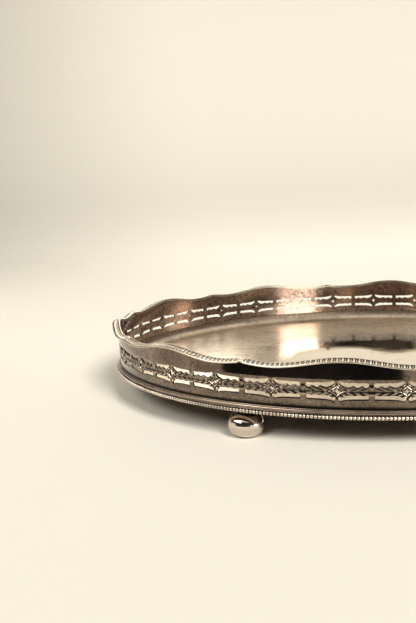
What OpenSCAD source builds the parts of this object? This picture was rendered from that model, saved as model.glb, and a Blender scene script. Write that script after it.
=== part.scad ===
// Round gallery tray on four bun feet, assembled from a dished floor plate,
// a pierced gallery strip, rim border lengths, base mouldings and soldered feet.
// Units are millimetres. +Z is up and the feet stand on z = 0.

/* [Tray] */
// Outside diameter over the rim border
tray_d = 304.8; // [290:0.2:320]
// Height of a rim crest above the lower edge of the base beads
gallery_h = 27.5; // [26:0.5:32]
// Thickness of the gallery strip
wall_t = 1.2; // [1:0.1:1.4]
// Thickness of the floor plate
plate_t = 1.1; // [0.9:0.1:1.2]
// Drop of the floor's top face below the lower edge of the base beads
floor_drop = 0.6; // [0.4:0.1:1]
// Inside radius of the cove between the floor and the gallery
cove_r = 4.5; // [3.5:0.5:5.5]
// Height of the plate's upright edge above the cove
lip_h = 1; // [0.5:0.1:1.5]

/* [Rim] */
// Direction of the crest that a pierced unit is centred under
crest_dir = 209.2; // [0:0.1:360]
// Height of a crest above the lowest stretch of the rim
crest_rise = 3.4; // [2:0.2:4]
// Height of the pointed joint between two waves above the lowest stretch
point_rise = 1.3; // [0.8:0.1:2]
// Radial width of the rim border
border_w = 4.4; // [4:0.1:5]
// Height of the rim border
border_h = 1.9; // [1.5:0.1:2.2]
// How far the rim border stands outside the gallery strip
border_out = 3.2; // [2.8:0.1:3.6]
// Angle that one joint piece between border lengths takes up
joint_angle = 0.8; // [0.6:0.1:1.2]

/* [Pierced pattern] */
// Number of pierced units around the gallery
units = 31; // [28:1:34]
// Height of the pattern's centre line above the lower edge of the base beads
pattern_z = 11.9; // [11:0.1:13]
// Width of the small lozenge hole
lozenge_w = 3; // [2.5:0.1:3.5]
// Height of the small lozenge hole
lozenge_h = 3.2; // [2.5:0.1:3.5]

/* [Base] */
// Height of the half-round moulding wire
mould_h = 2.4; // [2:0.1:2.6]
// How far the moulding wire stands outside the gallery strip
mould_out = 1; // [0.8:0.1:1.2]
// Height of the beaded wire under the moulding
bead_h = 1.9; // [1.6:0.1:2]
// How far the beaded wire stands outside the gallery strip
bead_out = 1.8; // [1.5:0.1:2]

/* [Feet] */
// Direction of the first foot
foot_dir = 45; // [0:1:90]
// Distance of a foot's axis from the tray's axis
foot_at = 139.2; // [136:0.1:139.5]
// Widest diameter of a foot
foot_d = 17.4; // [16:0.1:18]
// Height of the full oval that a foot is turned from
foot_oval_h = 13.1; // [12.5:0.1:13.6]
// Radius of the arc at a foot's widest part
foot_side_r = 5.6; // [5.2:0.1:5.9]
// Height worn flat under each foot
foot_worn = 0.2; // [0.1:0.05:0.3]
// Thickness of the solder collar on top of each foot
collar_t = 0.5; // [0.3:0.1:0.8]
// Radius of the solder collar
collar_r = 3.6; // [3:0.1:4.5]

/* [Hidden] */
round_fn = 96;

// Waves around the rim and feet under the plate, one node for each
waves = 10;
feet = 4;

// Radii, from the rim inwards
rim_r = tray_d / 2;
wall_r = rim_r - border_out;
wall_in = wall_r - wall_t;

// Heights above the surface that the feet stand on
foot_top = foot_oval_h - foot_worn;
foot_cut = 0.4;
plate_z = foot_top - foot_cut + collar_t;
base_z = plate_z + plate_t + floor_drop;
crest_z = base_z + gallery_h;
low_z = crest_z - crest_rise;
point_z = low_z + point_rise;

// One wave of the rim: a broad crest, a low stretch and a pointed joint
wave_a = 360 / waves;
low_a = wave_a * 0.347;
wave_step = wave_a / 24;
joint_h = border_h + 0.2;

function rim_z(a) =
    abs(a) <= low_a
        ? low_z + crest_rise * (1 + cos(180 * a / low_a)) / 2
        : low_z + point_rise * pow((abs(a) - low_a) / (wave_a / 2 - low_a), 1.8);

// One pierced unit, as fractions of its own width
unit_a = 360 / units;
unit_w = 2 * PI * wall_r / units;
slot_near = 0.04 * unit_w;
slot_far = 0.467 * unit_w;
near_top = 0.15 * unit_w;
near_low = 0.068 * unit_w;
far_top = 0.125 * unit_w;
far_low = 0.036 * unit_w;

// Foot oval: a side arc that runs smoothly into a flatter top and bottom arc
side_c = foot_d / 2 - foot_side_r;
half_oval = foot_oval_h / 2;
cap_k = (side_c * side_c - pow(half_oval - foot_side_r, 2)) / (2 * (half_oval - foot_side_r));
cap_r = half_oval + cap_k;
meet_x = cap_r * side_c / (cap_r - foot_side_r);

// Outline between two heights, following the wave, on a plane that faces outwards
module wave_outline(top_gap, bottom_gap) {
    mid_r = rim_r - border_w / 2;
    turn = [for (a = [-wave_a / 2 : wave_step : wave_a / 2 + 0.01]) a];
    low_edge = [for (a = turn) [mid_r * sin(a), rim_z(a) - bottom_gap]];
    high_edge = [for (i = [len(turn) - 1 : -1 : 0]) [mid_r * sin(turn[i]), rim_z(turn[i]) + top_gap]];
    ends = mid_r * sin(wave_a / 2) + 3;
    polygon(concat(
        [[-ends, point_z - bottom_gap]], low_edge, [[ends, point_z - bottom_gap]],
        [[ends, point_z + top_gap]], high_edge, [[-ends, point_z + top_gap]]
    ));
}

// The same outline as a solid that reaches through the rim
module wave_prism(top_gap, bottom_gap) {
    start = (rim_r - border_w) * cos(wave_a / 2) - 6;
    translate([start, 0, 0])
        rotate([90, 0, 90])
            linear_extrude(height = rim_r - start + 6)
                wave_outline(top_gap, bottom_gap);
}

// Outline of one long opening, in the quarter to the right of and above the lozenge
module slot_outline() {
    polygon([
        [slot_near, near_low], [slot_far * 0.5, far_low * 1.35], [slot_far, far_low],
        [slot_far, far_top], [slot_far * 0.45, far_top * 1.04], [slot_near, near_top]
    ]);
}

// Cutters for one pierced unit: four long openings around a lozenge hole
module unit_cutter() {
    translate([wall_r - 4, 0, base_z + pattern_z])
        rotate([90, 0, 90])
            linear_extrude(height = 8) {
                slot_outline();
                mirror([1, 0]) slot_outline();
                mirror([0, 1]) slot_outline();
                mirror([1, 0]) mirror([0, 1]) slot_outline();
                polygon([[-lozenge_w / 2, 0], [0, -lozenge_h / 2], [lozenge_w / 2, 0], [0, lozenge_h / 2]]);
            }
}

// Flat dished plate whose edge turns up in a cove against the gallery
module tray_plate() {
    flat_r = wall_in - plate_t - cove_r;
    bend_z = plate_z + plate_t + cove_r;
    color([0.62, 0.58, 0.52])
        rotate_extrude($fn = 180) {
            translate([0, plate_z]) square([flat_r, plate_t]);
            intersection() {
                translate([flat_r, bend_z]) difference() {
                    circle(r = cove_r + plate_t, $fn = round_fn);
                    circle(r = cove_r, $fn = round_fn);
                }
                translate([flat_r, plate_z]) square([cove_r + plate_t, cove_r + plate_t]);
            }
            translate([wall_in - plate_t, bend_z]) square([plate_t, lip_h]);
        }
}

// Pierced strip bent into a ring, with its top edge cut to the wave
module gallery_wall() {
    color([0.55, 0.48, 0.43])
        difference() {
            translate([0, 0, base_z]) cylinder(r = wall_r, h = gallery_h, $fn = 180);
            translate([0, 0, base_z - 1]) cylinder(r = wall_in, h = gallery_h + 2, $fn = 180);
            for (i = [0 : waves - 1])
                rotate([0, 0, crest_dir + i * wave_a]) wave_prism(10, border_h);
            for (i = [0 : units - 1])
                rotate([0, 0, crest_dir + i * unit_a]) unit_cutter();
        }
}

// One length of rim border, from one pointed joint to the next
module rim_border(i) {
    length_a = wave_a - joint_angle;
    color([0.72, 0.68, 0.6])
        rotate([0, 0, crest_dir + i * wave_a])
            intersection() {
                rotate([0, 0, -length_a / 2])
                    rotate_extrude(angle = length_a, $fn = 180)
                        translate([rim_r - border_w, base_z]) square([border_w, gallery_h + 2]);
                wave_prism(0, border_h);
            }
}

// Joint pieces that cover the meeting ends of the border lengths
module rim_joints() {
    color([0.8, 0.76, 0.68])
        for (i = [0 : waves - 1])
            rotate([0, 0, crest_dir + (i + 0.5) * wave_a - joint_angle / 2])
                rotate_extrude(angle = joint_angle, $fn = 180)
                    translate([rim_r - border_w, point_z - border_h]) square([border_w, joint_h]);
}

// Half-round wire soldered round the foot of the gallery
module base_moulding() {
    arc_r = (mould_h * mould_h / 4 + mould_out * mould_out) / (2 * mould_out);
    color([0.6, 0.56, 0.5])
        rotate_extrude($fn = 180)
            intersection() {
                translate([wall_r + mould_out - arc_r, base_z + bead_h + mould_h / 2])
                    circle(r = arc_r, $fn = round_fn);
                translate([wall_r, base_z + bead_h]) square([mould_out + 1, mould_h]);
            }
}

// Beaded wire under the moulding, as its outer envelope
module base_bead_wire() {
    bead_r = bead_h / 2;
    color([0.75, 0.7, 0.62])
        rotate_extrude($fn = 180) {
            translate([wall_r, base_z]) square([bead_out - bead_r, bead_h]);
            translate([wall_r + bead_out - bead_r, base_z + bead_r]) circle(r = bead_r, $fn = round_fn);
        }
}

// Half of the foot's oval section, in line with the turning axis
module foot_section() {
    intersection() {
        union() {
            intersection() {
                translate([0, half_oval - cap_r]) circle(r = cap_r, $fn = round_fn);
                translate([0, cap_r - half_oval]) circle(r = cap_r, $fn = round_fn);
                translate([0, -half_oval]) square([meet_x, foot_oval_h]);
            }
            intersection() {
                translate([side_c, 0]) circle(r = foot_side_r, $fn = round_fn);
                translate([0, -half_oval]) square([foot_d, foot_oval_h]);
            }
        }
        translate([0, foot_worn - half_oval]) square([foot_d, foot_oval_h - foot_worn - foot_cut]);
    }
}

// Bun foot, turned, standing on its small worn flat
module foot(i) {
    color([0.82, 0.79, 0.74])
        rotate([0, 0, foot_dir + i * 360 / feet])
            translate([foot_at, 0, half_oval - foot_worn])
                rotate_extrude($fn = round_fn)
                    foot_section();
}

// Solder collars between the feet and the plate
module foot_collars() {
    color([0.5, 0.46, 0.4])
        for (i = [0 : feet - 1])
            rotate([0, 0, foot_dir + i * 360 / feet])
                translate([foot_at, 0, foot_top - foot_cut])
                    cylinder(r = collar_r, h = collar_t, $fn = round_fn);
}

tray_plate();
gallery_wall();
rim_border(0);  // rim_border_1
rim_border(1);  // rim_border_2
rim_border(2);  // rim_border_3
rim_border(3);  // rim_border_4
rim_border(4);  // rim_border_5
rim_border(5);  // rim_border_6
rim_border(6);  // rim_border_7
rim_border(7);  // rim_border_8
rim_border(8);  // rim_border_9
rim_border(9);  // rim_border_10
rim_joints();
base_moulding();
base_bead_wire();
foot(0);  // foot_1
foot(1);  // foot_2
foot(2);  // foot_3
foot(3);  // foot_4
foot_collars();
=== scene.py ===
from math import asin, atan2, cos, degrees, exp, hypot, pi, radians, sin

import bpy
import numpy as np
from mathutils import Matrix, Vector
from mathutils.geometry import delaunay_2d_cdt


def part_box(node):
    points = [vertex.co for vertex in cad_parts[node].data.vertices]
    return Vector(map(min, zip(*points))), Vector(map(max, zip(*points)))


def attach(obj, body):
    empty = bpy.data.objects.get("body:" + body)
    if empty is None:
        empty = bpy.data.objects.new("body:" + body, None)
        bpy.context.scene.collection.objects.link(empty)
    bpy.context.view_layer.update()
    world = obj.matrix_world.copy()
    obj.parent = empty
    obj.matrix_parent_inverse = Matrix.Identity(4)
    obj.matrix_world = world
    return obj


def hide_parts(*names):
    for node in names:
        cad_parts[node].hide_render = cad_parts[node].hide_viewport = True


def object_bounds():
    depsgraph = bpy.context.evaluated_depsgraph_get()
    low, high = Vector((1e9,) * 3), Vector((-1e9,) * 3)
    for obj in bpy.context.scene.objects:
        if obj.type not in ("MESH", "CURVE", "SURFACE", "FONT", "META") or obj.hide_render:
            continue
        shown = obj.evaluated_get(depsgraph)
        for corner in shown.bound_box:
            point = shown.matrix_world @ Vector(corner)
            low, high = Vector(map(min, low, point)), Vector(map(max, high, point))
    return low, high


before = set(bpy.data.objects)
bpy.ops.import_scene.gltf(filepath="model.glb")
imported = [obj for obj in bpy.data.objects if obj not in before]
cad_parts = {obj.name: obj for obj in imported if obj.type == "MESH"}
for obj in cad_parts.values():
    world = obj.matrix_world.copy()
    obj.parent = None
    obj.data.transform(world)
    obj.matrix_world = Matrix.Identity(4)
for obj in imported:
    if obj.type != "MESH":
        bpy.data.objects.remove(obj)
cad_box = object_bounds()

# Lengths below are millimetres. Meshes are made in millimetres and scaled by MM.
MM = 0.001

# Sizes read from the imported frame
wall_lo, wall_hi = (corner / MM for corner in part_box("gallery_wall"))
plate_lo, plate_hi = (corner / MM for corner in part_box("tray_plate"))
mould_lo, mould_hi = (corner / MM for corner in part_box("base_moulding"))
collar_lo, collar_hi = (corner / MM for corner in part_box("foot_collars"))
RIM_R = cad_box[1].x / MM
WALL_R = wall_hi.x
BASE_Z = wall_lo.z
CREST_Z = cad_box[1].z / MM
PLATE_Z = plate_lo.z
MOULD_LOW, MOULD_TOP = mould_lo.z, mould_hi.z
MOULD_R = mould_hi.x
BEAD_WIRE_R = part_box("base_bead_wire")[1].x / MM
FOOT_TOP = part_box("foot_1")[1].z / MM

# Sizes that the frame's boxes don't hold
WALL_T = 1.2  # gallery strip
PLATE_T = 1.1  # floor plate
COVE_R = 4.5  # inside of the cove where the floor meets the gallery
BORDER_W = 4.4  # across the rim
BORDER_H = 1.9
WAVES = 10  # crests of the rim, with a joint midway between each two
UNITS = 31  # pierced units round the gallery
CREST_DIR = 209.2  # direction of one crest, in degrees from +X
CREST_RISE = 3.4  # crest above the rim's low places
POINT_RISE = 1.3  # joint above the rim's low places
JOINT_ANGLE = 0.8  # degrees between two border lengths
SHOULDER_LOW = 3.9  # the gallery's step, above the star's middle, from its stamped zone to its plain band
SHOULDER_TOP = 4.6
FEET = 4
FOOT_AT = 139.2  # radius at which the feet stand
FOOT_DIR = 45  # direction of the first foot

WALL_IN = WALL_R - WALL_T
FLOOR_TOP = PLATE_Z + PLATE_T
PATTERN_Z = BASE_Z + 12.5
UNIT_W = 2 * pi * WALL_R / UNITS
LOW_Z = CREST_Z - CREST_RISE
WAVE_A = 360 / WAVES
LOW_A = WAVE_A * 0.347  # angle from a crest to the low place beside it


# ---- helpers

def rim_z(a):
    """Height of the rim's top edge at an angle in degrees from a crest."""
    a = abs(a)
    if a <= LOW_A:
        return LOW_Z + CREST_RISE * (1 + cos(pi * a / LOW_A)) / 2
    return LOW_Z + POINT_RISE * ((a - LOW_A) / (WAVE_A / 2 - LOW_A)) ** 1.8


def wave_phase(t):
    """Angle from the nearest crest, for a direction t in degrees."""
    return (t - CREST_DIR + WAVE_A / 2) % WAVE_A - WAVE_A / 2


def new_piece(name, verts, faces, material, nodes, sharp=None, tone_and_painted_light=None):
    """Makes a piece from millimetre data, rides it on the root and hides the CAD nodes it stands for."""
    mesh = bpy.data.meshes.new(name)
    mesh.from_pydata([Vector(v) * MM for v in verts], [], faces)
    mesh.materials.append(material)
    mesh.validate()
    mesh.shade_smooth()
    if sharp:
        mesh.set_sharp_from_angle(angle=radians(sharp))
    # Point tones for the material: the pattern's wear and dark grooves, with painted shade and painted
    # highlight
    if tone_and_painted_light:
        layer = mesh.attributes.new("tone_and_painted_light", "FLOAT", "POINT")
        layer.data.foreach_set("value", tone_and_painted_light)
    mesh.update()
    piece = bpy.data.objects.new(name, mesh)
    bpy.context.collection.objects.link(piece)
    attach(piece, "root")
    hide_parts(*nodes)


def polar(r, t, z):
    """Point at a radius r and a direction t, in degrees, from the tray's axis."""
    a = radians(t)
    return (r * cos(a), r * sin(a), z)


def shifted(faces, n):
    """The same faces, for points that start at number n."""
    return [tuple(i + n for i in face) for face in faces]


def turned(profile, steps, closed=True, start=0.0, sweep=360.0, height=None):
    """Turns a profile of (radius, z) points about Z. height(angle) is added to z."""
    full = abs(sweep - 360) < 1e-6
    count = steps if full else steps + 1
    verts = []
    for i in range(count):
        angle = start + sweep * i / steps
        rise = height(angle) if height else 0
        verts.extend(polar(r, angle, z + rise) for r, z in profile)
    n = len(profile)
    faces = []
    ring = range(n if closed else n - 1)
    for i in range(steps):
        a, b = i * n, ((i + 1) % count) * n
        for k in ring:
            j = (k + 1) % n
            faces.append((a + k, b + k, b + j, a + j))
    if not full and closed:
        faces.append(tuple(range(n - 1, -1, -1)))
        faces.append(tuple(range((count - 1) * n, count * n)))
    return verts, faces


def arc(cx, cz, r, a0, a1, steps):
    """Points of an arc, in degrees."""
    out = []
    for i in range(steps + 1):
        a = radians(a0 + (a1 - a0) * i / steps)
        out.append((cx + r * cos(a), cz + r * sin(a)))
    return out


def ellipsoid(rings, segs):
    """Unit sphere as verts and faces, poles on the third axis."""
    verts = [(0, 0, 1)]
    for i in range(1, rings):
        p = pi * i / rings
        for j in range(segs):
            q = 2 * pi * j / segs
            verts.append((sin(p) * cos(q), sin(p) * sin(q), cos(p)))
    verts.append((0, 0, -1))
    faces = []
    for j in range(segs):
        k = (j + 1) % segs
        faces.append((0, 1 + j, 1 + k))
        for i in range(rings - 2):
            a = 1 + i * segs
            faces.append((a + j, a + segs + j, a + segs + k, a + k))
        base = 1 + (rings - 2) * segs
        faces.append((len(verts) - 1, base + k, base + j))
    return verts, faces


# ---- materials

class Nodes:
    """Short calls for building one material's node tree."""

    def __init__(self, name):
        self.material = bpy.data.materials.new(name)
        self.material.use_nodes = True
        self.tree = self.material.node_tree
        self.tree.nodes.clear()

    def add(self, kind, **values):
        node = self.tree.nodes.new(kind)
        for key, value in values.items():
            setattr(node, key, value)
        return node

    def link(self, source, target):
        self.tree.links.new(source, target)

    def feed(self, node, key, value):
        if isinstance(value, bpy.types.NodeSocket):
            self.link(value, node.inputs[key])
        elif value is not None:
            node.inputs[key].default_value = value

    def coords(self):
        return self.add("ShaderNodeTexCoord").outputs["Object"]

    def noise(self, vector, scale, detail=3, rough=0.5, distortion=0.0):
        node = self.add("ShaderNodeTexNoise")
        self.link(vector, node.inputs["Vector"])
        settings = {"Scale": scale, "Detail": detail, "Roughness": rough, "Distortion": distortion}
        for key, number in settings.items():
            node.inputs[key].default_value = number
        return node.outputs["Fac"]

    def voronoi(self, vector, scale):
        node = self.add("ShaderNodeTexVoronoi")
        self.link(vector, node.inputs["Vector"])
        node.inputs["Scale"].default_value = scale
        return node.outputs["Distance"]

    def ramp(self, value, low, high, to_low=0.0, to_high=1.0):
        node = self.add("ShaderNodeMapRange", interpolation_type="SMOOTHSTEP")
        self.feed(node, "Value", value)
        for key, number in (("From Min", low), ("From Max", high), ("To Min", to_low), ("To Max", to_high)):
            node.inputs[key].default_value = number
        return node.outputs["Result"]

    def math(self, kind, a, b=None):
        node = self.add("ShaderNodeMath", operation=kind)
        self.feed(node, 0, a)
        self.feed(node, 1, b)
        return node.outputs[0]

    def mix(self, fac, a, b):
        """Colour a where fac is 0 and b where it is 1. A plain colour is three numbers."""
        node = self.add("ShaderNodeMix", data_type="RGBA")
        for key, value in ((0, fac), (6, a), (7, b)):
            self.feed(node, key, (*value, 1) if isinstance(value, tuple) else value)
        return node.outputs[2]

    def split(self, vector):
        node = self.add("ShaderNodeSeparateXYZ")
        self.link(vector, node.inputs[0])
        return node.outputs

    def attribute(self, name):
        return self.add("ShaderNodeAttribute", attribute_name=name).outputs["Fac"]

    def stretched(self, vector, scale, turn=(0, 0, 0)):
        node = self.add("ShaderNodeMapping")
        self.link(vector, node.inputs["Vector"])
        node.inputs["Scale"].default_value = scale
        node.inputs["Rotation"].default_value = turn
        return node.outputs["Vector"]

    def round_coords(self, vector):
        """Arc length, radius and height in place of X, Y and Z; then height and radius alone."""
        x, y, z = self.split(vector)
        flat = self.add("ShaderNodeCombineXYZ")
        self.link(x, flat.inputs[0])
        self.link(y, flat.inputs[1])
        length = self.add("ShaderNodeVectorMath", operation="LENGTH")
        self.link(flat.outputs[0], length.inputs[0])
        radius = length.outputs["Value"]
        out = self.add("ShaderNodeCombineXYZ")
        self.link(self.math("MULTIPLY", self.math("ARCTAN2", y, x), WALL_R * MM), out.inputs[0])
        self.link(radius, out.inputs[1])
        self.link(z, out.inputs[2])
        return out.outputs[0], z, radius

    def bump(self, height, strength, distance, normal=None):
        node = self.add("ShaderNodeBump")
        node.inputs["Strength"].default_value = strength
        node.inputs["Distance"].default_value = distance
        self.link(height, node.inputs["Height"])
        if normal is not None:
            self.link(normal, node.inputs["Normal"])
        return node.outputs["Normal"]

    def metal(self, colour, rough, normal):
        shader = self.add("ShaderNodeBsdfPrincipled")
        shader.inputs["Metallic"].default_value = 1.0
        self.feed(shader, "Base Color", colour)
        self.feed(shader, "Roughness", rough)
        self.link(normal, shader.inputs["Normal"])
        return self.finish(shader.outputs["BSDF"])

    def finish(self, surface):
        out = self.add("ShaderNodeOutputMaterial")
        self.link(surface, out.inputs["Surface"])
        return self.material


def gallery_material():
    """Tarnished plate: pinkish brown mottling, speckled outside, with dark grooves and rubbed ridges,
    painted shade above the outside shoulder and painted light below it, and a painted shade line and
    painted highlight along the openings.
    """
    m = Nodes("tarnished_gallery_plate")
    arc_co, z, radius = m.round_coords(m.coords())
    tone_and_painted_light = m.attribute("tone_and_painted_light")
    clouds = m.noise(arc_co, 46, 5, 0.62, 0.4)
    streaks = m.noise(m.stretched(arc_co, (1, 1, 3.2)), 150, 4, 0.6)
    spots = m.noise(arc_co, 620, 3, 0.6)
    flecks = m.noise(arc_co, 980, 2, 0.5)
    pits = m.voronoi(arc_co, 820)
    # Inside
    base = m.mix(m.ramp(clouds, 0.34, 0.66), (0.3, 0.228, 0.185), (0.45, 0.352, 0.292))
    base = m.mix(m.ramp(streaks, 0.42, 0.72, 0, 0.6), base, (0.36, 0.25, 0.205))
    base = m.mix(m.ramp(spots, 0.5, 0.66, 0, 0.65), base, (0.15, 0.105, 0.085))
    base = m.mix(m.ramp(pits, 0.1, 0.22, 0.45, 0), base, (0.17, 0.12, 0.1))
    # Outside, with painted shade above the shoulder and painted light below it, standing in for what each
    # band reflects
    upper = m.mix(m.ramp(clouds, 0.3, 0.7), (0.13, 0.097, 0.077), (0.26, 0.195, 0.155))
    lower = m.mix(m.ramp(clouds, 0.3, 0.7), (0.15, 0.118, 0.092), (0.247, 0.198, 0.158))
    above = (PATTERN_Z + SHOULDER_TOP + 1.6) * MM
    below = (PATTERN_Z + SHOULDER_LOW - 0.4) * MM
    outside = m.ramp(radius, (WALL_IN + 0.1) * MM, (WALL_R - 0.75) * MM)
    base = m.mix(outside, base, m.mix(m.ramp(z, above, below), upper, lower))
    # Speckles, then the stamped pattern's tone: ridges rubbed bright, grooves black, and the painted shade
    # and painted highlight along the openings
    base = m.mix(m.ramp(spots, 0.52, 0.64, 0, 0.65), base, (0.07, 0.05, 0.04))
    base = m.mix(m.ramp(flecks, 0.6, 0.7, 0, 0.55), base, (0.5, 0.42, 0.345))
    # Ridges rubbed bright, and the painted highlight above the upper openings
    rubbed_and_painted_highlight = m.mix(m.ramp(spots, 0.4, 0.7, 0, 0.5), (0.92, 0.8, 0.66), (0.7, 0.56, 0.47))
    colour = m.mix(m.ramp(tone_and_painted_light, 0.55, 0.84), base, rubbed_and_painted_highlight)
    colour = m.mix(m.ramp(tone_and_painted_light, 0.46, 0.12), colour, (0.018, 0.015, 0.011))
    rough = m.ramp(clouds, 0.35, 0.65, 0.09, 0.14)
    rough = m.math("ADD", rough, m.ramp(spots, 0.52, 0.75, 0, 0.1))
    rough = m.math("ADD", rough, m.ramp(tone_and_painted_light, 0.5, 0.2, 0, 0.3))
    fine = m.bump(m.noise(arc_co, 1500, 3, 0.6), 0.05, 0.0001)
    wavy = m.bump(m.noise(arc_co, 55, 2, 0.5), 0.12, 0.0004, fine)
    return m.metal(colour, rough, wavy)


def plate_material():
    """Floor of the tray: creamy worn plate, mirror-bright in the middle and satin towards the cove, with
    painted shade up the cove and a darker underside that is partly tarnish and partly painted shade.
    """
    m = Nodes("scratched_floor_plate")
    co = m.coords()
    _, z, radius = m.round_coords(co)
    clouds = m.noise(co, 26, 5, 0.6, 0.5)
    blots = m.noise(m.stretched(co, (1.0, 1.3, 1.0), (0, 0, 0.4)), 105, 7, 0.72, 0.3)
    spots = m.noise(co, 330, 3, 0.6)
    scuffs = m.noise(m.stretched(co, (0.4, 1.0, 1.0), (0, 0, -0.25)), 260, 5, 0.7, 0.6)
    scratches = 0.0
    for turn, scale in ((0.35, 560), (1.2, 640), (-0.5, 700), (2.3, 600)):
        line = m.noise(m.stretched(co, (1.0, 0.05, 1.0), (0, 0, turn)), scale, 2, 0.5)
        scratches = m.math("MAXIMUM", scratches, m.ramp(line, 0.64, 0.7))
    base = m.mix(m.ramp(clouds, 0.35, 0.65), (0.62, 0.515, 0.39), (0.79, 0.68, 0.53))
    base = m.mix(m.ramp(blots, 0.46, 0.68, 0, 0.72), base, (0.38, 0.31, 0.235))
    base = m.mix(m.ramp(spots, 0.58, 0.7, 0, 0.6), base, (0.3, 0.25, 0.19))
    base = m.mix(m.ramp(scuffs, 0.54, 0.66, 0, 0.55), base, (0.26, 0.21, 0.155))
    base = m.mix(m.ramp(radius, 25 * MM, 60 * MM, 0.6, 0), base, (0.95, 0.87, 0.75))
    # Painted shade up the cove, and a dull, darker underside, partly tarnish and partly painted shade,
    # where the scratches fade out too
    cove_painted_shade = m.ramp(z, (FLOOR_TOP + 0.4) * MM, (FLOOR_TOP + 3.4) * MM, 0, 0.94)
    base = m.mix(cove_painted_shade, base, (0.105, 0.078, 0.058))
    under = m.ramp(z, (PLATE_Z + 0.4) * MM, PLATE_Z * MM, 0, 0.9)
    base = m.mix(under, base, (0.1, 0.075, 0.06))
    seen = m.math("MULTIPLY", scratches, m.ramp(z, PLATE_Z * MM, (PLATE_Z + 0.6) * MM, 0.03, 0.16))
    colour = m.mix(seen, base, (0.88, 0.82, 0.7))
    worn = m.math("ADD", radius, m.ramp(clouds, 0.3, 0.7, -5 * MM, 5 * MM))
    rough = m.ramp(worn, 43 * MM, 90 * MM, 0.032, 0.34)
    rough = m.math("ADD", rough, m.ramp(blots, 0.5, 0.72, 0, 0.08))
    rough = m.math("MAXIMUM", rough, m.ramp(radius, 140 * MM, 143.5 * MM, 0, 0.47))
    normal = m.bump(scratches, 0.05, 0.00004)
    normal = m.bump(m.noise(co, 14, 2, 0.5), 0.1, 0.0008, normal)
    return m.metal(colour, rough, normal)


def trim_material(name, light, dark, groove, rough):
    """Cast or drawn trim, black where its point tone falls through the groove's two tones; the tones carry
    painted shade.
    """
    m = Nodes(name)
    arc_co, _, _ = m.round_coords(m.coords())
    tone_and_painted_light = m.attribute("tone_and_painted_light")
    clouds = m.noise(arc_co, 70, 4, 0.6, 0.3)
    spots = m.noise(arc_co, 700, 3, 0.6)
    base = m.mix(m.ramp(clouds, 0.35, 0.65), dark, light)
    base = m.mix(m.ramp(spots, 0.56, 0.72, 0, 0.4), base, (0.27, 0.2, 0.16))
    # Painted shade: low point tones darken lower and inner faces and go black in the gaps
    colour = m.mix(m.ramp(tone_and_painted_light, groove[1], groove[0]), base, (0.03, 0.024, 0.016))
    gloss = m.ramp(clouds, 0.35, 0.65, *rough)
    gloss = m.math("ADD", gloss, m.ramp(tone_and_painted_light, 0.5, 0.1, 0, 0.3))
    normal = m.bump(m.noise(arc_co, 1400, 3, 0.6), 0.15, 0.0001)
    return m.metal(colour, gloss, normal)


def foot_material():
    """Polished plate, browner and mottled towards the collar, darker below its middle as painted shade,
    with hairline scratches.
    """
    m = Nodes("polished_foot_plate")
    co = m.coords()
    z = m.split(co)["Z"]
    clouds = m.noise(co, 120, 4, 0.6)
    spots = m.noise(co, 900, 3, 0.6)
    lines = m.noise(m.stretched(co, (0.05, 0.05, 1.0)), 1300, 2, 0.5)
    collar_browning = m.math("MULTIPLY", m.ramp(z, 7 * MM, 12.2 * MM), m.ramp(clouds, 0.3, 0.6, 0.25, 0.7))
    base = m.mix(m.ramp(clouds, 0.35, 0.7), (0.84, 0.76, 0.68), (0.68, 0.58, 0.5))
    base = m.mix(collar_browning, base, (0.3, 0.22, 0.18))
    # Painted shade below the middle, toning down the reflected table
    base = m.mix(m.ramp(z, 7.5 * MM, 4.5 * MM, 0, 0.7), base, (0.52, 0.435, 0.375))
    colour = m.mix(m.ramp(spots, 0.6, 0.72, 0, 0.4), base, (0.35, 0.27, 0.21))
    rough = m.math("ADD", m.ramp(clouds, 0.35, 0.65, 0.06, 0.11), m.ramp(lines, 0.6, 0.7, 0, 0.06))
    return m.metal(colour, rough, m.bump(lines, 0.05, 0.00005))


def solder_material():
    """Dull lumpy solder."""
    m = Nodes("dull_solder")
    lumps = m.noise(m.coords(), 500, 4, 0.6)
    colour = m.mix(m.ramp(lumps, 0.35, 0.65), (0.2, 0.17, 0.14), (0.4, 0.35, 0.29))
    rough = m.ramp(lumps, 0.3, 0.7, 0.42, 0.6)
    return m.metal(colour, rough, m.bump(lumps, 0.5, 0.0003))


GALLERY = gallery_material()
PLATE = plate_material()
BORDER = trim_material("beaded_border_plate", light=(0.86, 0.765, 0.635), dark=(0.64, 0.55, 0.45),
                       groove=(0.16, 0.5), rough=(0.14, 0.22))
BASE = trim_material("base_moulding_plate", light=(0.4, 0.325, 0.27), dark=(0.29, 0.227, 0.187),
                     groove=(0.05, 0.45), rough=(0.2, 0.3))
BEADS = trim_material("base_bead_plate", light=(0.86, 0.78, 0.68), dark=(0.62, 0.52, 0.45),
                      groove=(0.05, 0.5), rough=(0.16, 0.24))
FOOT = foot_material()
SOLDER = solder_material()


# ---- gallery wall

# One pierced unit, measured along the strip and up it from the star's middle
SLOT_NEAR = 1.25  # a long opening's ends
SLOT_FAR = 13.7
SLOT_STEPS = 46
LEAF_FIRST = 5.15  # where the leaves begin, and how far apart they are
LEAF_PITCH = 3.75
LEAF_TIP = 0.6  # share of the pitch at which a leaf is longest
LEAF_LEAN = 5.6  # how far a leaf leans along the strip
LEAF_ROW = 1.45  # width of a leaf across its groove
LEAF_REACH = 2.35  # how far the leaves reach up and down
LOZENGE_W = 2.2  # small opening in the star's middle
LOZENGE_H = 2.6
STAR_A = 6.3  # the star's half width and half height, and the power that hollows its sides
STAR_B = 3.45
STAR_P = 0.6
BAND_TOP = 5.8  # the triangulated zone, between the plain bands
BAND_LOW = -6.2
BAND_ROWS = 14
STAMP_LOW = -5.3  # below this the strip is plain
EDGE_STEPS = 24  # points along a unit's straight edges

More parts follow.
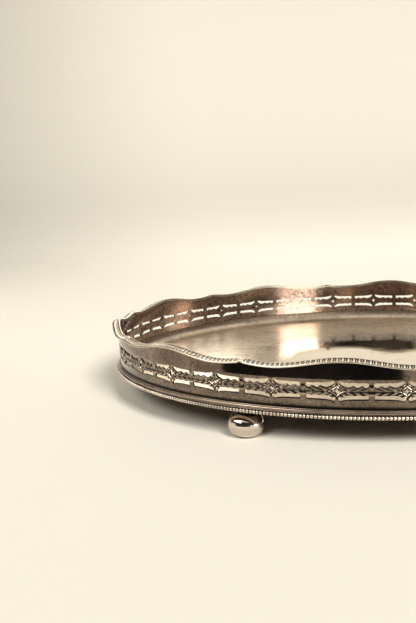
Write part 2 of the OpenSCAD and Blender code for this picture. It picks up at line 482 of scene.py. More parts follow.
# Each ring of the star: share of its full size, width, height and tone
STAR_RINGS = (
    (1.0, 0.17, -0.2, -0.6),
    (0.79, 0.2, 0.16, 0.4),
    (0.57, 0.16, -0.2, -0.6),
    (0.42, 0.18, 0.14, 0.5),
)


def decay(u, reach):
    """Falls from 1 at an opening's end by the star towards 0."""
    return exp(-max(u - SLOT_NEAR, 0.0) / reach)


def inner_edge(u, upper):
    """Edge of a long opening on the leaves' side, at a distance u from the star's middle."""
    tip = 0
    if u >= LEAF_FIRST:
        part = ((u - LEAF_FIRST) / LEAF_PITCH) % 1.0
        tip = part / LEAF_TIP if part < LEAF_TIP else (1 - part) / (1 - LEAF_TIP)
    if upper:
        return 1.4 + 2.0 * decay(u, 2.0) + 0.95 * tip ** 0.9
    return 1.75 + 1.9 * decay(u, 1.5) + 0.32 * tip


def outer_edge(u, upper):
    """Edge of a long opening on the plain band's side."""
    if upper:
        return 3.45 + 0.9 * decay(u, 2.6)
    return 3.55 + 1.0 * decay(u, 2.4)


def slot_loop(right, upper):
    """Closed outline of one long opening, counter-clockwise in its own quarter."""
    us = [SLOT_NEAR + (SLOT_FAR - SLOT_NEAR) * i / SLOT_STEPS for i in range(SLOT_STEPS + 1)]
    points = [(u, inner_edge(u, upper)) for u in us]
    end = points[-1][1]
    rise = outer_edge(SLOT_FAR, upper) - end
    points += [(SLOT_FAR + 0.12, end + rise * k / 5) for k in range(1, 5)]
    points += [(u, outer_edge(u, upper)) for u in us[::-1][::2]]
    middle = (outer_edge(SLOT_NEAR, upper) + points[0][1]) / 2
    points.append((SLOT_NEAR - 0.12, middle))
    sx, sy = (1 if right else -1), (1 if upper else -1)
    return [(sx * u, sy * v) for u, v in points]


def lozenge_loop():
    """Closed outline of the small opening in the star's middle, with hollow sides."""
    corners = [(LOZENGE_W / 2, 0), (0, LOZENGE_H / 2), (-LOZENGE_W / 2, 0), (0, -LOZENGE_H / 2)]
    points = []
    for k in range(4):
        (ax, ay), (bx, by) = corners[k], corners[(k + 1) % 4]
        for i in range(7):
            f = i / 7
            pull = 1 - 0.22 * sin(pi * f)
            points.append(((ax + (bx - ax) * f) * pull, (ay + (by - ay) * f) * pull))
    return points


def inside(loop, points):
    """Which points lie inside a closed loop."""
    x, y = points[:, 0], points[:, 1]
    result = np.zeros(len(points), bool)
    n = len(loop)
    for i in range(n):
        (ax, ay), (bx, by) = loop[i], loop[(i + 1) % n]
        if ay == by:
            continue
        result ^= ((ay > y) != (by > y)) & (x < (bx - ax) * (y - ay) / (by - ay) + ax)
    return result


def gap(a, b):
    """Distance from each point of a to the nearest point of b."""
    out = np.full(len(a), 1e9)
    for i in range(0, len(a), 400):
        d = a[i:i + 400, None, :] - b[None, :, :]
        out[i:i + 400] = np.sqrt((d ** 2).sum(2)).min(1)
    return out


def star_level(u, v):
    """1 on the star's outline, less inside it and more outside."""
    return ((abs(u) / STAR_A) ** STAR_P + (abs(v) / STAR_B) ** STAR_P) ** (1 / STAR_P)


def smooth(x, low, high):
    """Rises smoothly from 0 at low to 1 at high."""
    f = min(max((x - low) / (high - low), 0.0), 1.0)
    return f * f * (3 - 2 * f)


def leaf_shift(share):
    """How far a leaf's line has swept along the strip at a share of the way out to its tip."""
    return LEAF_LEAN * (1 - share) ** 0.85


def leaf_phase(u, v):
    """Runs through a whole number at each groove between two leaves."""
    share = min(abs(v) / LEAF_REACH, 1.0)
    return (abs(u) + leaf_shift(share) - LEAF_FIRST) / LEAF_PITCH - LEAF_TIP


def relief_at(u, v, edge_gap):
    """Height of the stamped pattern, and how bright (towards 1) or black (towards 0) it is, with painted
    shade and a painted highlight along the openings.
    """
    au, av = abs(u), abs(v)
    level = star_level(u, v)
    radius = hypot(u, v)
    height, tone = 0.0, 0.5
    inner = inner_edge(min(au, SLOT_FAR), v > 0)
    within = 1 - smooth(av, inner + 0.05, inner + 0.4)
    leaf = smooth(level, 1.05, 1.3) * within
    if leaf > 0:
        part = leaf_phase(u, v) % 1.0
        away = min(part, 1 - part) * LEAF_ROW
        groove = exp(-(away / 0.19) ** 2) * smooth(av, 0.1, 0.5)
        groove *= 1 - smooth(au, SLOT_FAR, SLOT_FAR + 1.2)
        ridge = exp(-((part - 0.32) / 0.13) ** 2) * smooth(av, 0.3, 0.7)
        axis = exp(-((v + 0.2) / 0.16) ** 2) * smooth(au, 5.2, 7.0)
        dark = max(groove, axis)
        height += leaf * (0.1 + 0.06 * ridge - 0.3 * dark)
        tone += leaf * (0.1 + 0.3 * ridge - 0.62 * dark)
    if radius < STAR_A + 0.5:
        for share, width, rise, shade in STAR_RINGS:
            weight = exp(-((radius * (level - share) / max(level, 0.05)) / width) ** 2)
            height += weight * rise
            tone += weight * shade
    # Painted shade: a dark line just under each opening's lower edge. Painted highlight: a light band above
    # the upper openings' top edges.
    if edge_gap < 1.0 and au < SLOT_FAR + 0.3:
        shaded = av > outer_edge(au, False) - 0.1 if v < 0 else av < inner_edge(au, True) + 0.1
        if shaded:
            line = exp(-(max(edge_gap - 0.12, 0) / 0.19) ** 2)
            height -= 0.08 * line
            tone -= 0.5 * line
        elif v > 0:
            tone += 0.26 * exp(-(edge_gap / 0.3) ** 2)
    return height, min(max(tone, 0.0), 1.0)


def base_offset(u, v):
    """Slow shape of the strip: a plain upper band that leans in, a shoulder, and a stamped zone."""
    dip = 0.3 * exp(-(u / 1.1) ** 2)
    low, top = SHOULDER_LOW - dip, SHOULDER_TOP - dip
    zone = -0.3
    if v >= top:
        return -0.055 * (v - top)
    if v >= low:
        f = (v - low) / (top - low)
        return zone * (1 - f * f * (3 - 2 * f))
    return zone - 0.012 * (low - v)


def groove_tone(z):
    """Darkens the strip towards black just above the base moulding."""
    return 0.5 - 0.5 * (1 - smooth(z, MOULD_TOP + 0.3, MOULD_TOP + 1.6))


def band_mesh(fill, min_gap):
    """Flat triangulation of one unit, between the plain bands, with its openings."""
    half = UNIT_W / 2
    loops = [slot_loop(r, t) for r in (True, False) for t in (True, False)] + [lozenge_loop()]
    us = [-half + UNIT_W * i / EDGE_STEPS for i in range(EDGE_STEPS + 1)]
    vs = [BAND_LOW + (BAND_TOP - BAND_LOW) * i / BAND_ROWS for i in range(BAND_ROWS + 1)]
    border = [(u, BAND_LOW) for u in us[:-1]] + [(half, v) for v in vs[:-1]]
    border += [(u, BAND_TOP) for u in reversed(us[1:])] + [(-half, v) for v in reversed(vs[1:])]
    fixed, edges, ranges = [], [], []
    for loop in [border] + loops:
        n = len(fixed)
        fixed += loop
        edges += [(n + i, n + (i + 1) % len(loop)) for i in range(len(loop))]
        ranges.append((n, len(loop)))
    fill = np.array(fill)
    fill = fill[np.abs(fill[:, 0]) < half - min_gap]
    fill = fill[(fill[:, 1] < BAND_TOP - min_gap) & (fill[:, 1] > BAND_LOW + min_gap)]
    for loop in loops:
        fill = fill[~inside(loop, fill)]
    fill = fill[gap(fill, np.array(fixed)) > min_gap]
    points = [Vector(p) for p in fixed] + [Vector(p) for p in fill]
    verts, _, faces, origins, _, _ = delaunay_2d_cdt(points, edges, [], 0, 1e-6)
    place = {}
    for k, sources in enumerate(origins):
        for source in sources:
            place[source] = k
    verts = np.array([(v.x, v.y) for v in verts])
    faces = np.array([f for f in faces if len(f) == 3])
    middle = verts[faces].mean(1)
    bad = np.zeros(len(faces), bool)
    for loop in loops:
        bad |= inside(loop, middle)
    faces = faces[~bad]
    loops_at = [[place[n + i] for i in range(count)] for n, count in ranges[1:]]
    edge_gap = gap(verts, np.array([p for loop in loops for p in loop]))
    return verts, faces, loops_at, edge_gap


def hex_grid(step, low, high):
    """Points in staggered rows over one unit."""
    points = []
    row = 0
    v = low
    while v < high:
        u = -UNIT_W / 2 + (step / 2 if row % 2 else 0)
        while u < UNIT_W / 2:
            points.append((u, v))
            u += step
        v += step * 0.866
        row += 1
    return points


def thinned(points, step):
    """Drops points that crowd an earlier one, on a grid of cells."""
    cells, kept = {}, []
    for p in points:
        key = (int(p[0] // step), int(p[1] // step))
        near = [q for i in (-1, 0, 1) for j in (-1, 0, 1) for q in cells.get((key[0] + i, key[1] + j), ())]
        if all((p[0] - q[0]) ** 2 + (p[1] - q[1]) ** 2 > step * step for q in near):
            cells.setdefault(key, []).append(p)
            kept.append(p)
    return kept


def relief_points():
    """Points along the pattern's lines, then a grid that is fine in the pattern and coarse round it."""
    points = []
    for share, *_ in STAR_RINGS:
        for k in range(160):
            a = 2 * pi * k / 160
            direction = (cos(a), sin(a))
            r = share / star_level(*direction)
            points.append((direction[0] * r, direction[1] * r))
    points += [(u * 0.3, -0.2) for u in range(-50, 51) if abs(u * 0.3) > 5.4]
    for offset in (0.0, 0.2, -0.2, 0.5):
        for number in range(5):
            for k in range(1, 36):
                share = k / 35
                au = LEAF_FIRST + LEAF_PITCH * (number + offset + LEAF_TIP) - leaf_shift(share)
                if not 2.2 < au < UNIT_W / 2:
                    continue
                for side_u in (-1, 1):
                    for side_v in (-1, 1):
                        av = share * LEAF_REACH
                        if star_level(au, av) > 1.08 and av < inner_edge(au, side_v > 0):
                            points.append((side_u * au, side_v * av))
    for k in range(56):
        au = SLOT_NEAR + (SLOT_FAR - SLOT_NEAR) * k / 55
        for side in (-1, 1):
            points += [(side * au, -outer_edge(au, False) - below) for below in (0.3, 0.62)]
    fine = hex_grid(0.36, -2.4, 2.6)
    points += [p for p in fine if abs(p[1]) < inner_edge(abs(p[0]), p[1] > 0) or star_level(*p) < 1.15]
    points += [p for p in hex_grid(0.36, -3.6, 3.6) if star_level(*p) < 1.15]
    points += hex_grid(0.62, BAND_LOW + 0.2, BAND_TOP - 0.2)
    return thinned(points, 0.25)


def edge_rows(verts, at):
    """Numbers of the points on a unit's upright edge at u = at, by row."""
    return {round((v - BAND_LOW) / (BAND_TOP - BAND_LOW) * BAND_ROWS): k
            for k, (u, v) in enumerate(verts) if abs(u - at) < 1e-6}


def own_points(verts):
    """New numbers for a unit's points without those on its right edge, which belong to the next unit."""
    own = [k for k, (u, _) in enumerate(verts) if abs(u - UNIT_W / 2) >= 1e-6]
    return {k: i for i, k in enumerate(own)}


def wall_shell(verts, faces, outer, edge_gap):
    """One face of the wall all round: points, faces and tones, then its top and bottom rings."""
    half = UNIT_W / 2
    left, right = edge_rows(verts, -half), edge_rows(verts, half)
    local = own_points(verts)
    back = {k: local[left[row]] for row, k in right.items()}
    shape = []
    for k in local:
        u, v = verts[k]
        if not outer:
            shape.append((u, v, WALL_IN, 0.5))
            continue
        height, tone = relief_at(u, v, edge_gap[k])
        if v > SHOULDER_LOW - 0.2 or v < STAMP_LOW:
            height, tone = 0.0, max(tone, 0.5) if v > 0 else 0.5
        tone = min(tone, groove_tone(PATTERN_Z + v) + 0.5)
        shape.append((u, v, WALL_R + base_offset(u, v) + height, tone))
    n = len(local)
    points, tones, out_faces = [], [], []
    for i in range(UNITS):
        middle = CREST_DIR + i * 360 / UNITS
        for u, v, r, tone in shape:
            a = radians(middle) + u / WALL_R
            points.append((r * cos(a), r * sin(a), PATTERN_Z + v))
            tones.append(tone)
        following = ((i + 1) % UNITS) * n
        table = [following + back[k] if k in back else i * n + local[k] for k in range(len(verts))]
        for a, b, c in faces:
            out_faces.append((table[a], table[b], table[c]) if outer else (table[a], table[c], table[b]))

    def ring_at(edge):
        row = sorted((verts[k][0], local[k]) for k in local if abs(verts[k][1] - edge) < 1e-6)
        return [i * n + k for i in range(UNITS) for _, k in row]

    count = UNITS * EDGE_STEPS
    angles = [CREST_DIR - 180 / UNITS + 360 / count * k for k in range(count)]

    def add_rows(previous, heights, radii, shades, upward):
        """Plain rows that carry on from a ring of points. Returns the last row."""
        for row, radius in enumerate(radii):
            start = len(points)
            points.extend(polar(radius, t, heights(row, t)) for t in angles)
            tones.extend([shades[row]] * count)
            current = list(range(start, start + count))
            for k in range(count):
                j = (k + 1) % count
                quad = (previous[k], previous[j], current[j], current[k])
                out_faces.append(quad if outer == upward else quad[::-1])
            previous = current
        return previous

    steps = 5 if outer else 3
    start_z = PATTERN_Z + BAND_TOP

    def upper_height(row, t):
        """Evenly spaced from the stamped band to just inside the border."""
        end = rim_z(wave_phase(t)) - BORDER_H + 0.15
        return start_z + (end - start_z) * (row + 1) / steps

    top_radii = []
    for row in range(steps):
        v = BAND_TOP + (row + 1) / steps * 8.5
        top_radii.append(WALL_R + base_offset(9, v) if outer else WALL_IN)
    top = add_rows(ring_at(BAND_TOP), upper_height, top_radii, [0.5] * steps, True)
    if outer:
        zs = [MOULD_TOP + 1.7, MOULD_TOP + 1.0, MOULD_TOP + 0.5, MOULD_TOP, MOULD_LOW, BASE_Z]
        radii = [WALL_R - 0.38, WALL_R - 0.42, WALL_R - 0.3, WALL_R - 0.1, WALL_R, WALL_R]
        shades = [0.5, 0.3, 0.08, 0.0, 0.1, 0.1]
    else:
        zs, radii, shades = [BASE_Z], [WALL_IN], [0.5]
    low = add_rows(ring_at(BAND_LOW), lambda row, _: zs[row], radii, shades, False)
    return points, out_faces, tones, top, low


def make_gallery():
    """The strip's two faces, joined along its edges and through its openings."""
    verts, faces, loops, edge_gap = band_mesh(relief_points(), 0.17)
    points, all_faces, tones, top, low = wall_shell(verts, faces, True, edge_gap)
    coarse = hex_grid(1.5, BAND_LOW + 0.4, BAND_TOP - 0.2)
    verts_in, faces_in, loops_in, gap_in = band_mesh(coarse, 0.6)
    points_in, all_faces_in, tones_in, top_in, low_in = wall_shell(verts_in, faces_in, False, gap_in)
    shift = len(points)
    points += points_in
    all_faces += shifted(all_faces_in, shift)
    tones += tones_in
    count = len(top)
    for k in range(count):
        j = (k + 1) % count
        all_faces.append((top[k], top[j], top_in[j] + shift, top_in[k] + shift))
        all_faces.append((low[j], low[k], low_in[k] + shift, low_in[j] + shift))
    # The openings' side walls have points of their own, so that they can be black
    local, local_in = own_points(verts), own_points(verts_in)
    for i in range(UNITS):
        for loop, loop_in in zip(loops, loops_in):
            start, size = len(points), len(loop)
            for k, k_in in zip(loop, loop_in):
                points.append(points[i * len(local) + local[k]])
                points.append(points[i * len(local_in) + local_in[k_in] + shift])
                tones.extend((0.08, 0.2))
            for k in range(size):
                j = (k + 1) % size
                all_faces.append((start + 2 * k, start + 2 * j, start + 2 * j + 1, start + 2 * k + 1))
    new_piece("gallery_wall_pierced", points, all_faces, GALLERY, ["gallery_wall"],
              62, tones)


# ---- rim border

BORDER_IN = RIM_R - BORDER_W
BORDER_STEPS = 72
BORDER_BEADS = 39  # large beads on one length, with a small one between each two
BEAD_LONG = 1.62  # half a bead's size across the border and upward
BEAD_HIGH = 0.78
BEAD_LEAN = radians(-17)
CLASP_LEAN = radians(-14)

# Each clasp: how far along from the joint, then half width, half height, half depth
CLASP_PARTS = ((0.0, 0.78, 1.0, 2.16), (-1.05, 0.34, 0.8, 1.98), (1.05, 0.34, 0.8, 1.98))


def border_profile():
    """Section and tones of the border: an inner fillet, a hollow for the beads and an outer fillet. The
    tones darken the inner fillet, go black in the hollow and paint shade down the outer fillet's lower side
    and under the border.
    """
    points = []
    points += arc(BORDER_IN + 0.42, -0.42, 0.42, 180, 20, 6)
    points += [(BORDER_IN + 1.0, -0.86), (BORDER_IN + 1.9, -1.1), (BORDER_IN + 2.9, -1.34)]
    points += arc(RIM_R - 0.46, -1.36, 0.46, 95, -78, 8)
    points += [(RIM_R - 1.1, -BORDER_H + 0.06), (WALL_R + 0.3, -BORDER_H), (BORDER_IN + 0.05, -BORDER_H)]
    tones = [0.3, 0.35, 0.4, 0.45, 0.5, 0.4, 0.15, 0.0, 0.0, 0.0]
    tones += [0.1, 0.35, 0.7, 0.9, 0.95, 0.8, 0.6, 0.4, 0.3, 0.25, 0.2, 0.3]
    return points, tones


def border_bead(middle, half_t, share=1.0):
    """One bead that lies across the hollow, leaning with it."""
    verts, faces = ellipsoid(6, 10)
    out, tones = [], []
    for x, y, z in verts:
        across, up = x * BEAD_LONG * share, z * BEAD_HIGH * (0.35 + 0.65 * share)
        r = RIM_R - 2.28 + across * cos(BEAD_LEAN) - up * sin(BEAD_LEAN)
        h = -0.98 + across * sin(BEAD_LEAN) + up * cos(BEAD_LEAN)
        t = middle + degrees(y * half_t / r)
        out.append(polar(r, t, min(h + rim_z(wave_phase(t)), CREST_Z - 0.02)))
        # Painted shade: each bead darker on its lower half and ends, and the small beads darker overall
        tones.append((0.1 + 0.85 * min(max(z * 1.15 + 0.2 - 0.7 * abs(y) ** 1.5, 0), 1)) * share)
    return out, faces, tones


def make_border(i):
    """One length of border, from joint to joint over a crest, with its beads."""
    length = WAVE_A - JOINT_ANGLE
    start = CREST_DIR + i * WAVE_A - length / 2
    profile, ring_tones = border_profile()
    verts, faces = turned(profile[::-1], BORDER_STEPS, True, start, length, lambda t: rim_z(wave_phase(t)))
    tones = ring_tones[::-1] * (BORDER_STEPS + 1)
    for k in range(2 * BORDER_BEADS - 1):
        t = start + length * (k / 2 + 0.5) / BORDER_BEADS
        v, f, shade = border_bead(t, 0.56) if k % 2 == 0 else border_bead(t, 0.34, 0.55)
        faces += shifted(f, len(verts))
        verts += v
        tones += shade
    new_piece("rim_border_length_%d" % (i + 1), verts, faces, BORDER, ["rim_border_%d" % (i + 1)],
              50, tones)


def make_joints():
    """Rounded clasp at each joint of the rim, with a ridge each side."""
    verts, faces, tones = [], [], []
    point_z = rim_z(WAVE_A / 2)
    ball, ball_faces = ellipsoid(10, 16)
    for i in range(WAVES):
        middle = CREST_DIR + (i + 0.5) * WAVE_A
        for along, half_t, up_r, across_r in CLASP_PARTS:
            faces += shifted(ball_faces, len(verts))
            for x, y, z in ball:
                bulge = 1 + 0.12 * cos(2 * x)
                across, up = x * across_r, z * up_r * 0.86
                r = RIM_R - 2.2 + across * cos(CLASP_LEAN) - up * sin(CLASP_LEAN)
                r = min(r, RIM_R - 0.01)
                h = point_z - 0.92 + across * sin(CLASP_LEAN) * 0.8 + up * cos(CLASP_LEAN)
                verts.append(polar(r, middle + degrees((along + y * half_t * bulge) / r), h))
                # Painted shade on each clasp's lower half
                tones.append(0.35 + 0.6 * min(max(z + 0.35, 0), 1))
    new_piece("rim_joint_clasps", verts, faces, BORDER, ["rim_joints"], tone_and_painted_light=tones)


# ---- base

BASE_BEADS = 548
BASE_STEPS = 360
BASE_BEAD_R = 0.86


def make_moulding():
    """Half-round wire with a thin reed above and below it. Its tones paint shade on the lower faces and go
    black in the crevices and where it meets the strip and the bead wire.
    """
    top, low = MOULD_TOP, MOULD_LOW
    profile, tones = [], []

    def put(points, values):
        profile.extend(points)
        tones.extend(values)

    put([(WALL_R - 0.35, top - 0.02), (WALL_R + 0.1, top - 0.02)], [0.1, 0.3])
    reed = arc(WALL_R + 0.32, top - 0.27, 0.25, 110, -50, 6)
    put(reed, [0.6, 0.9, 1.0, 1.0, 0.9, 0.6, 0.3])
    put([(WALL_R + 0.36, top - 0.58)], [0.22])
    body = arc(MOULD_R - 0.82, (top + low) / 2 - 0.06, 0.82, 62, -62, 10)
    put(body, [0.4, 0.5, 0.6, 0.64, 0.6, 0.55, 0.5, 0.5, 0.45, 0.38, 0.3])
    put([(WALL_R + 0.46, low + 0.34)], [0.0])
    put(arc(WALL_R + 0.42, low + 0.2, 0.2, 60, -90, 4), [0.5, 0.7, 0.6, 0.3, 0.1])
    put([(WALL_R - 0.2, low + 0.01)], [0.0])
    verts, faces = turned(profile[::-1], BASE_STEPS)
    new_piece("base_moulding_reeded", verts, faces, BASE, ["base_moulding"],
              55, tones[::-1] * BASE_STEPS)


def make_bead_wire():
    """Row of round beads on a thin wire, under the moulding, with painted shade on the beads' inner sides
    and between them, where the wire is painted black.
    """
    low, top = BASE_Z, MOULD_LOW
    middle = (low + top) / 2
    profile = [(WALL_R - 0.2, top), (WALL_R + 0.55, top), (WALL_R + 0.62, middle + 0.4)]
    profile += [(WALL_R + 0.45, middle), (WALL_R + 0.62, middle - 0.4)]
    profile += [(WALL_R + 0.5, low + 0.12), (WALL_R - 0.2, low)]
    verts, faces = turned(profile[::-1], BASE_STEPS)
    tones = [0.05, 0.05, 0.05, 0.0, 0.05, 0.15, 0.1] * BASE_STEPS
    ball, ball_faces = ellipsoid(6, 9)
    radius = BEAD_WIRE_R - BASE_BEAD_R
    for k in range(BASE_BEADS):
        t = 360 * k / BASE_BEADS
        faces += shifted(ball_faces, len(verts))
        for x, y, z in ball:
            r = radius + x * BASE_BEAD_R
            a = radians(t) + y * 0.8 / radius
            verts.append((r * cos(a), r * sin(a), middle + z * 0.9))
            # Painted shade: darker on the inner side and towards the neighbouring beads
            tones.append(0.15 + 0.8 * min(max(x * 1.1 - 0.35 * abs(y), 0), 1))
    new_piece("base_beaded_wire", verts, faces, BEADS, ["base_bead_wire"], 50, tones)


# ---- feet

FOOT_D = 17.4
FOOT_OVAL_H = 13.1
FOOT_SIDE_R = 5.6
FOOT_WORN = 0.2  # worn away under the foot
FOOT_STEPS = 72
COLLAR_STEPS = 48


def foot_profile():
    """Oval of a side arc and two flatter arcs, with its worn flat and its top cut."""
    side_c = FOOT_D / 2 - FOOT_SIDE_R
    half = FOOT_OVAL_H / 2
    cap_c = (side_c ** 2 - (half - FOOT_SIDE_R) ** 2) / (2 * (half - FOOT_SIDE_R))
    cap_r = half + cap_c
    meet = degrees(atan2(cap_c, side_c))
    middle = half - FOOT_WORN
    flat_a = degrees(asin((middle + cap_c) / cap_r))
    points = [(0.0, 0.0)]
    points += [(x, z + middle) for x, z in arc(0, cap_c, cap_r, -flat_a, -meet, 10)]
    points += [(x, z + middle) for x, z in arc(side_c, 0, FOOT_SIDE_R, -meet, meet, 22)][1:-1]
    upper = arc(0, -cap_c, cap_r, meet, flat_a + 1, 10)
    points += [(x, z + middle) for x, z in upper if z + middle < FOOT_TOP]
    points.append((points[-1][0] - 0.3, FOOT_TOP))
    points.append((0.0, FOOT_TOP))
    return points


def foot_centre(i):
    """X and Y of a foot's axis."""
    return polar(FOOT_AT, FOOT_DIR + i * 360 / FEET, 0)[:2]


def make_feet():
    """Four turned bun feet, closed at the worn flat and at the top."""
    profile = foot_profile()
    n = len(profile) - 2
    bun, faces = turned(profile[1:-1], FOOT_STEPS, False)
    base, top = len(bun), len(bun) + 1
    bun += [(0, 0, profile[0][1]), (0, 0, profile[-1][1])]
    for k in range(FOOT_STEPS):
        j = (k + 1) % FOOT_STEPS
        faces.append((base, j * n, k * n))
        faces.append((top, k * n + n - 1, j * n + n - 1))
    for i in range(FEET):
        cx, cy = foot_centre(i)
        verts = [(x + cx, y + cy, z) for x, y, z in bun]
        new_piece("bun_foot_%d" % (i + 1), verts, faces, FOOT, ["foot_%d" % (i + 1)], 35)


def make_collars():
    """Solder fillets between the feet and the plate, uneven round their edge."""
    low, top = collar_lo.z, collar_hi.z
    profile = [(2.0, low), (3.5, low), (3.42, low + 0.12), (3.45, low + 0.3), (3.6, top), (2.0, top)]
    ring, ring_faces = turned(profile, COLLAR_STEPS)
    verts, faces = [], []
    for i in range(FEET):
        cx, cy = foot_centre(i)
        faces += shifted(ring_faces, len(verts))
        for x, y, z in ring:
            t = atan2(y, x)
            swell = 1 + 0.03 * sin(3 * t + i) + 0.02 * sin(7 * t + 2 * i) - 0.05
            verts.append((cx + x * swell, cy + y * swell, z))
    new_piece("foot_solder_fillets", verts, faces, SOLDER, ["foot_collars"], 50)


# ---- tray plate

PLATE_STEPS = 240
SAG = -0.6  # the floor's low place, its middle and its spread
SAG_X, SAG_Y, SAG_R = 10, -8, 60


def make_plate():
    """Floor with a cove and lip, and the slight unevenness of hand-finished sheet."""
    bend_r = WALL_IN - PLATE_T - COVE_R
    bend_z = FLOOR_TOP + COVE_R
    inner = [(r, FLOOR_TOP) for r in (6, 14, 24, 34, 44, 54, 64, 74, 84, 94, 104, 114, 122, 130, 136, 140)]
    inner += arc(bend_r, bend_z, COVE_R, -90, 0, 14)
    inner += [(WALL_IN - PLATE_T, plate_hi.z - 0.1), (WALL_IN - PLATE_T + 0.2, plate_hi.z)]
    inner += [(WALL_IN - 0.05, plate_hi.z)]
    outer = [(WALL_IN - 0.02, bend_z)]
    outer += arc(bend_r, bend_z, COVE_R + PLATE_T - 0.02, 0, -90, 14)
    outer += [(r, PLATE_Z) for r in (140, 130, 114, 94, 74, 54, 34, 14, 6)]
    profile = (inner + outer)[::-1]
    verts, faces = turned(profile, PLATE_STEPS, False)
    n = len(profile)
    warped = []
    for x, y, z in verts:
        hold = 1 - smooth(hypot(x, y), 96, 136)
        sag = SAG * exp(-((x - SAG_X) ** 2 + (y - SAG_Y) ** 2) / SAG_R ** 2)
        warp = 0.12 * sin(x / 31 + 0.6) * sin(y / 27 - 0.9) + 0.06 * sin((x + y) / 19)
        warped.append((x, y, z + hold * (sag + warp)))
    centre_top, centre_low = len(warped), len(warped) + 1
    middle_sag = warped[n - 1][2] - FLOOR_TOP
    warped += [(0, 0, FLOOR_TOP + middle_sag), (0, 0, PLATE_Z + middle_sag)]
    for k in range(PLATE_STEPS):
        j = (k + 1) % PLATE_STEPS
        faces.append((centre_top, k * n + n - 1, j * n + n - 1))
        faces.append((centre_low, j * n, k * n))
    new_piece("tray_floor_plate", warped, faces, PLATE, ["tray_plate"], 60)


make_gallery()
for number in range(WAVES):
    make_border(number)
make_joints()
make_moulding()
make_bead_wire()
make_feet()
make_collars()
make_plate()


# ---- studio

TABLE_SIZE = 2600
SWEEP_Y = 900
SWEEP_R = 700
CARD_R = 306
CARD_STEPS = 24

# Each dark flag: first and last angle from -Y towards +X, bottom, top, lift of its first bottom corner
FLAGS = (
    (-165, -67, 55, 110, 0),
    (-67, -46, 0, 105, 30),
    (-46, -11, 0, 160, 0),
    (-11, 14.2, 45, 160, 0),
    (39.5, 106, 0, 130, 0),
    (124, 137, 0, 130, 0),
)
FLAG_COLOUR = (0.034, 0.034, 0.031)

# Each bright strip: name, radius, first and last angle, bottom, top, colour and strength
STRIPS = (
    ("front_strip", CARD_R + 40, 15, 37, 20, 300, (1.0, 0.97, 0.92), 14.0),
    ("back_left_strip", CARD_R + 60, -178, -152, 48, 170, (1.0, 0.93, 0.82), 5.0),
    ("right_strip", CARD_R + 40, 106, 126, 0, 430, (1.0, 0.92, 0.84), 3.0),
    ("left_strip", CARD_R + 60, -86, -48, 128, 420, (1.0, 0.95, 0.86), 5.0),
)

# Strength and colour of the world, as it lights matt surfaces and as the camera and reflections see it
WORLD_DIFFUSE = (0.13, (1.0, 0.8, 0.6, 1))
WORLD_SEEN = (0.86, (1.0, 0.955, 0.85, 1))
KEY_COLOUR = (1.0, 0.965, 0.885)


def glow_material(name, colour, strength):
    """Plain glow of one colour."""
    m = Nodes(name)
    shader = m.add("ShaderNodeEmission")
    shader.inputs["Color"].default_value = (*colour, 1)
    shader.inputs["Strength"].default_value = strength
    return m.finish(shader.outputs["Emission"])


def paper_material():
    """Pale paper, with painted shade where it curves up to face the light, offsetting the light it catches,
    and painted shade towards its far left.
    """
    m = Nodes("pale_paper")
    x, y, _ = m.split(m.coords())
    # Painted shade up the curve and towards the far left and back
    paper_with_painted_shade = m.mix(m.ramp(y, 840 * MM, 1280 * MM), (0.88, 0.855, 0.79), (0.52, 0.5, 0.455))
    left = m.math("MULTIPLY", m.ramp(x, -500 * MM, 150 * MM, 0.6, 0), m.ramp(y, 200 * MM, 1000 * MM))
    shader = m.add("ShaderNodeBsdfPrincipled")
    m.feed(shader, "Base Color", m.mix(left, paper_with_painted_shade, (0.2, 0.185, 0.16)))
    shader.inputs["Roughness"].default_value = 0.9
    shader.inputs["Specular IOR Level"].default_value = 0.1
    return m.finish(shader.outputs["BSDF"])


def stage_mesh(name, verts, faces, material, only_gloss=False):
    """Adds a studio mesh that isn't part of the tray; with only_gloss, reflections alone show it."""
    mesh = bpy.data.meshes.new(name)
    mesh.from_pydata([Vector(v) * MM for v in verts], [], faces)
    mesh.materials.append(material)
    mesh.shade_smooth()
    item = bpy.data.objects.new(name, mesh)
    bpy.context.collection.objects.link(item)
    if only_gloss:
        for rays in ("camera", "diffuse", "shadow", "transmission", "volume_scatter"):
            setattr(item, "visible_" + rays, False)


def make_sweep():
    """Pale table that curves up behind the tray."""
    line = [(-TABLE_SIZE, 0), (SWEEP_Y, 0)]
    line += [(SWEEP_Y + SWEEP_R * sin(a), SWEEP_R * (1 - cos(a)))
             for a in (radians(6 * k) for k in range(1, 16))]
    line.append((SWEEP_Y + SWEEP_R, TABLE_SIZE))
    verts, faces = [], []
    for y, z in line:
        verts += [(-TABLE_SIZE, y, z), (TABLE_SIZE, y, z)]
    for k in range(len(line) - 1):
        faces.append((2 * k, 2 * k + 1, 2 * k + 3, 2 * k + 2))
    stage_mesh("pale_sweep", verts, faces, paper_material())


def curved_card(name, radius, start, end, low, high, material, slant=0.0):
    """Upright curved card about the tray's axis; angles run from -Y towards +X."""
    verts, faces = [], []
    for k in range(CARD_STEPS + 1):
        share = k / CARD_STEPS
        a = radians(start + (end - start) * share)
        x, y = radius * sin(a), -radius * cos(a)
        lift = slant * max(0.0, 1 - share * 8)
        verts += [(x, y, low + lift), (x, y, high)]
    for k in range(CARD_STEPS):
        faces.append((2 * k, 2 * k + 2, 2 * k + 3, 2 * k + 1))
    stage_mesh(name, verts, faces, material, True)


def make_cards():
    """Dark flags and bright strips that only show in the metal's reflections."""
    black = glow_material("black_flag", FLAG_COLOUR, 1.0)
    for k, (start, end, low, high, slant) in enumerate(FLAGS):
        curved_card("flag_%d" % k, CARD_R, start, end, low, high, black, slant)
    for name, radius, start, end, low, high, colour, strength in STRIPS:
        curved_card(name, radius, start, end, low, high, glow_material(name, colour, strength))


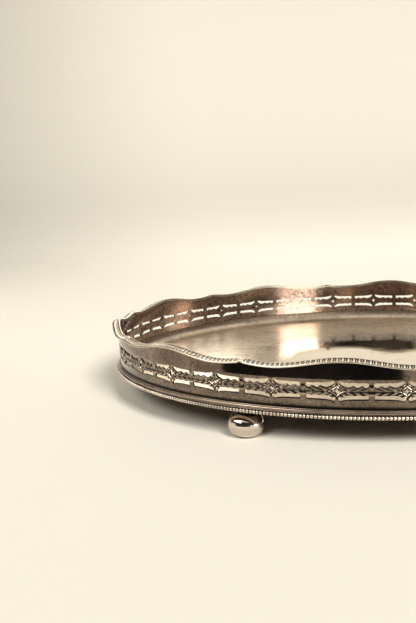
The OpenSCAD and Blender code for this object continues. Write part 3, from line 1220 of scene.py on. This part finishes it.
def soft_key(name, azimuth, elevation, spread, strength):
    """Distant soft light that reflections don't show; the azimuth runs from -Y towards +X."""
    data = bpy.data.lights.new(name, "SUN")
    data.angle = radians(spread)
    data.energy = strength
    data.color = KEY_COLOUR
    light = bpy.data.objects.new(name, data)
    a, e = radians(azimuth), radians(elevation)
    source = Vector((sin(a) * cos(e), -cos(a) * cos(e), sin(e)))
    light.rotation_euler = source.to_track_quat("Z", "Y").to_euler()
    bpy.context.collection.objects.link(light)
    light.visible_glossy = False


def make_light():
    """World that the camera and reflections see brighter than matt surfaces do, and two keys."""
    world = bpy.data.worlds.new("studio")
    world.use_nodes = True
    add, link = world.node_tree.nodes.new, world.node_tree.links.new
    background = world.node_tree.nodes["Background"]
    path = add("ShaderNodeLightPath")
    seen = add("ShaderNodeMath")
    seen.operation = "MAXIMUM"
    link(path.outputs["Is Camera Ray"], seen.inputs[0])
    link(path.outputs["Is Glossy Ray"], seen.inputs[1])
    share = add("ShaderNodeMapRange")
    share.inputs["To Min"].default_value, dim_tint = WORLD_DIFFUSE
    share.inputs["To Max"].default_value, seen_tint = WORLD_SEEN
    link(seen.outputs[0], share.inputs["Value"])
    link(share.outputs["Result"], background.inputs["Strength"])
    tint = add("ShaderNodeMix")
    tint.data_type = "RGBA"
    tint.inputs[6].default_value = dim_tint
    tint.inputs[7].default_value = seen_tint
    link(seen.outputs[0], tint.inputs[0])
    link(tint.outputs[2], background.inputs["Color"])
    bpy.context.scene.world = world
    soft_key("key_front_right", 8, 33, 18, 3.4)
    soft_key("key_left", -32, 32, 18, 1.6)


CAMERA_AT = (-184.4, -510.3, 120.0)
CAMERA_TURN = radians(9.6)  # from +Y towards +X
CAMERA_PITCH = 0.14125  # radians downward
CAMERA_ROLL = -0.03711
LENS = 53.05


def make_camera():
    """Camera at the photo's viewpoint."""
    data = bpy.data.cameras.new("camera")
    data.lens = LENS
    data.sensor_width = 36
    data.sensor_fit = "AUTO"
    data.clip_start = 0.01
    data.clip_end = 20
    camera = bpy.data.objects.new("camera", data)
    forward = Vector((sin(CAMERA_TURN) * cos(CAMERA_PITCH),
                      cos(CAMERA_TURN) * cos(CAMERA_PITCH), -sin(CAMERA_PITCH)))
    level = Vector((cos(CAMERA_TURN), -sin(CAMERA_TURN), 0))
    upright = level.cross(forward)
    right = cos(CAMERA_ROLL) * level + sin(CAMERA_ROLL) * upright
    up = -sin(CAMERA_ROLL) * level + cos(CAMERA_ROLL) * upright
    turn = Matrix((right, up, -forward)).transposed()
    camera.matrix_world = Matrix.Translation(Vector(CAMERA_AT) * MM) @ turn.to_4x4()
    bpy.context.collection.objects.link(camera)
    bpy.context.scene.camera = camera


make_sweep()
make_cards()
make_light()
make_camera()
bpy.context.scene.view_settings.view_transform = "Standard"
